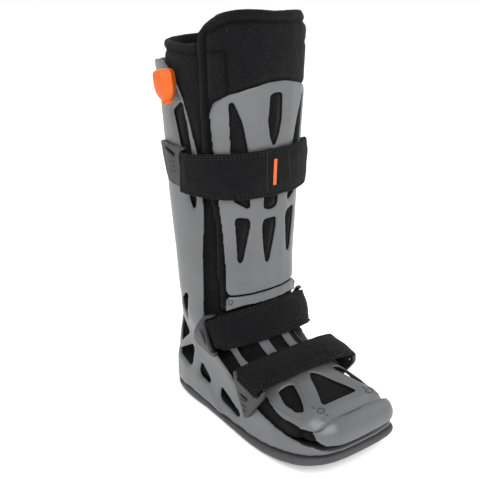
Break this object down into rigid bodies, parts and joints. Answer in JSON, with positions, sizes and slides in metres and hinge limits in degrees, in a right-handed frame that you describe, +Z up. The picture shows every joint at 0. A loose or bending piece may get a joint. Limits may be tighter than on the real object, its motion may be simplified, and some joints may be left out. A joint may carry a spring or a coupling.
{
  "type": "medical walking boot",
  "caption": "Tall walking boot brace: rigid windowed shell, padded liner and front flap, shin and foot plates, straps in side brackets, rocker sole and an inflation bulb",
  "frame": {"origin": "middle of the underside of the object's box, on the floor", "axes": "+Z up, toe towards -Y, the bulb on the -X side"},
  "size_m": [0.152, 0.2912, 0.43],
  "materials": {
    "shell_plastic": "mid-grey moulded plastic, satin, fine grain",
    "trim_plastic": "dark grey moulded plastic, satin",
    "sole_rubber": "dark grey rubber, matt",
    "padding_fabric": "black brushed knit over foam",
    "strap_webbing": "black loop-faced strap with bound edges",
    "label_fabric": "orange woven tab",
    "bulb_rubber": "orange soft rubber, satin"
  },
  "bodies": {
    "root": {"outsole": "sole_rubber", "shell": "shell_plastic", "liner": "padding_fabric", "front_flap": "padding_fabric", "shin_panel": "shell_plastic", "ankle_plate": "shell_plastic", "foot_panel": "shell_plastic", "toe_cap": "shell_plastic", "calf_bracket_left": "trim_plastic", "calf_bracket_right": "trim_plastic", "ankle_bracket_left": "trim_plastic", "ankle_bracket_right": "trim_plastic", "forefoot_bracket_left": "trim_plastic", "forefoot_bracket_right": "trim_plastic", "calf_strap": "strap_webbing", "ankle_strap": "strap_webbing", "forefoot_strap": "strap_webbing", "calf_strap_rear": "strap_webbing", "strap_label": "label_fabric", "air_bulb": "bulb_rubber"}
  },
  "joints": []
}
